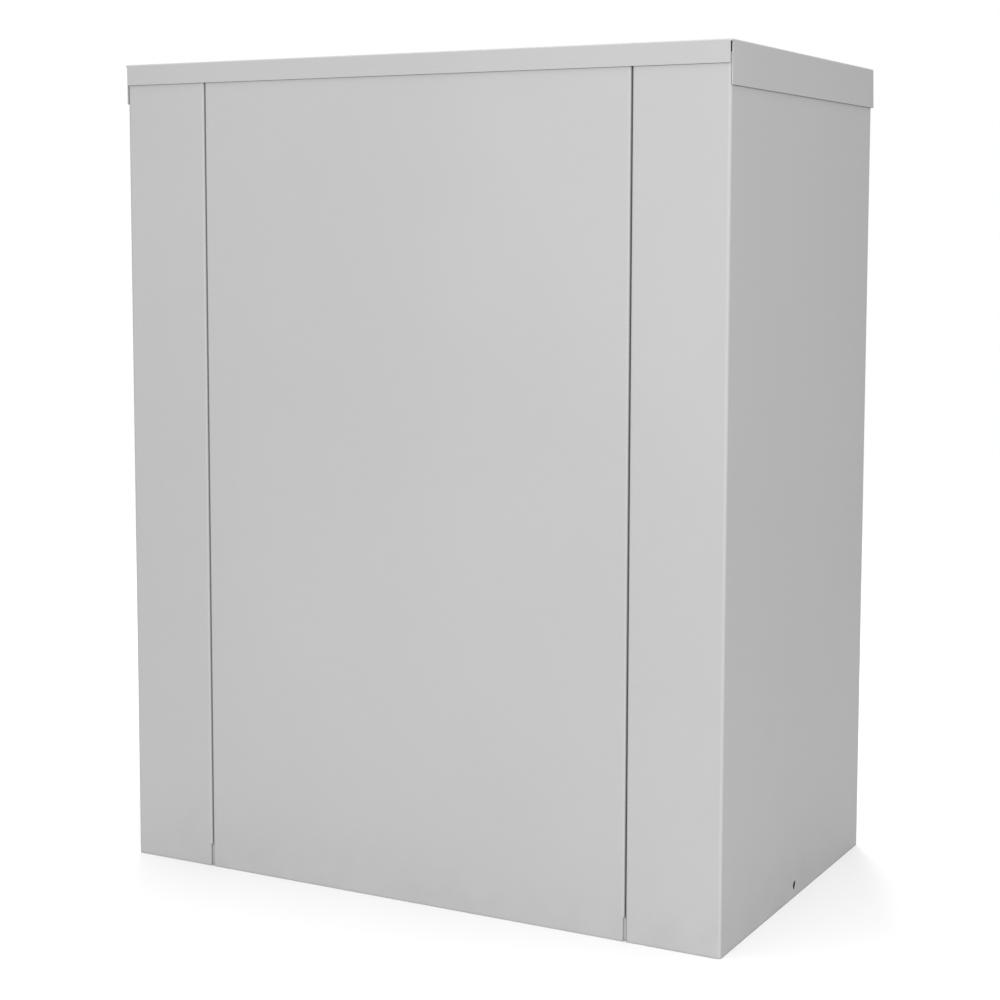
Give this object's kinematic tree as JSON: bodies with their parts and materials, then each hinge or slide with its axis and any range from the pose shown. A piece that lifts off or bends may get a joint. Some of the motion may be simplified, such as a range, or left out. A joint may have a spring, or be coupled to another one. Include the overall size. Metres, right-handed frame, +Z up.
{
  "type": "industrial switchboard cabinet",
  "caption": "Free-standing folded-steel switchboard cabinet with a flanged visor roof, hinged front door, quarter-turn locks, mounting plate, rail devices and bottom cable entry.",
  "frame": {"origin": "middle of the base, on the ground", "axes": "+Z up, the door faces -Y, the rear panel faces +Y, +X to the right seen from the front"},
  "size_m": [0.8034, 0.4898, 1],
  "materials": {
    "powder_coat": "light grey powder coat, fine orange peel",
    "galvanised": "galvanised sheet with faint spangle",
    "zinc": "bright zinc plate",
    "rubber": "matt black rubber",
    "hinge_black": "black fine texture coat",
    "lock_chrome": "satin chrome",
    "gland_grey": "moulded grey",
    "device_grey": "moulded light grey",
    "knob_red": "red",
    "toggle_black": "black",
    "comb_plastic": "dark grey",
    "terminal_plastic": "beige grey",
    "copper": "bare copper",
    "brass": "bare brass",
    "duct_grey": "grey",
    "pocket_grey": "light grey"
  },
  "bodies": {
    "cabinet": {"side_wall_right": "powder_coat", "side_wall_left": "powder_coat", "rear_panel": "powder_coat", "front_header": "powder_coat", "front_sill": "powder_coat", "top_plate": "powder_coat", "roof_cap": "powder_coat", "base_tray": "powder_coat", "mounting_plate": "galvanised", "din_rails": "galvanised", "anchor_tubes": "galvanised", "gland_plate": "galvanised", "plate_standoffs": "galvanised", "roof_spacers": "galvanised", "rear_seam_rivets": "zinc", "roof_bolts": "zinc", "roof_nuts": "zinc", "gland_plate_bolts": "zinc", "plate_nuts": "zinc", "rail_screws": "zinc", "frame_hinge_screws": "zinc", "bar_screws": "zinc", "hinge_pins": "zinc", "rear_seam_seals": "rubber", "gland_plate_seal": "rubber", "gland_seals": "rubber", "frame_hinge_leaves": "hinge_black", "gland_bodies": "gland_grey", "gland_cap_nuts": "gland_grey", "gland_locknuts": "gland_grey", "main_switch_case": "device_grey", "breaker_cases": "device_grey", "comb_busbar": "comb_plastic", "terminal_blocks": "terminal_plastic", "terminal_end_stops": "terminal_plastic", "bar_supports": "terminal_plastic", "feed_links": "copper", "neutral_bar": "brass", "earth_bar": "brass", "wiring_duct": "duct_grey", "wiring_duct_cover": "duct_grey"},
    "door": {"door_panel": "powder_coat", "door_gasket": "rubber", "door_stiffeners": "powder_coat", "document_pocket": "pocket_grey", "door_hinge_leaves": "hinge_black", "door_hinge_screws": "zinc", "lock_nuts": "zinc", "lock_upper_housing": "lock_chrome", "lock_lower_housing": "lock_chrome"},
    "lock_upper": {"lock_upper_barrel": "lock_chrome", "lock_upper_cam": "zinc"},
    "lock_lower": {"lock_lower_barrel": "lock_chrome", "lock_lower_cam": "zinc"},
    "switch_knob": {"main_switch_knob": "knob_red"},
    "toggle_1": {"breaker_1_toggle": "toggle_black"},
    "toggle_2": {"breaker_2_toggle": "toggle_black"},
    "toggle_3": {"breaker_3_toggle": "toggle_black"},
    "toggle_4": {"breaker_4_toggle": "toggle_black"}
  },
  "joints": [
    {"name": "door_swing", "type": "hinge", "parent": "cabinet", "child": "door", "pos_m": [-0.3685, -0.2445, 0.5], "axis": [0, 0, -1], "range_deg": [0, 120]},
    {"name": "lock_upper_turn", "type": "hinge", "parent": "door", "child": "lock_upper", "pos_m": [0.33414, -0.2375, 0.782], "axis": [0, -1, 0], "range_deg": [0, 90]},
    {"name": "lock_lower_turn", "type": "hinge", "parent": "door", "child": "lock_lower", "pos_m": [0.33414, -0.2375, 0.223], "axis": [0, -1, 0], "range_deg": [0, 90]},
    {"name": "main_switch_turn", "type": "hinge", "parent": "cabinet", "child": "switch_knob", "pos_m": [0, 0.1105, 0.77883], "axis": [0, 1, 0], "range_deg": [0, 90]},
    {"name": "breaker_1_switch", "type": "hinge", "parent": "cabinet", "child": "toggle_1", "pos_m": [-0.081, 0.1295, 0.57017], "axis": [-1, 0, 0], "range_deg": [0, 70]},
    {"name": "breaker_2_switch", "type": "hinge", "parent": "cabinet", "child": "toggle_2", "pos_m": [-0.027, 0.1295, 0.57017], "axis": [-1, 0, 0], "range_deg": [0, 70]},
    {"name": "breaker_3_switch", "type": "hinge", "parent": "cabinet", "child": "toggle_3", "pos_m": [0.027, 0.1295, 0.57017], "axis": [-1, 0, 0], "range_deg": [0, 70]},
    {"name": "breaker_4_switch", "type": "hinge", "parent": "cabinet", "child": "toggle_4", "pos_m": [0.081, 0.1295, 0.57017], "axis": [-1, 0, 0], "range_deg": [0, 70]}
  ]
}
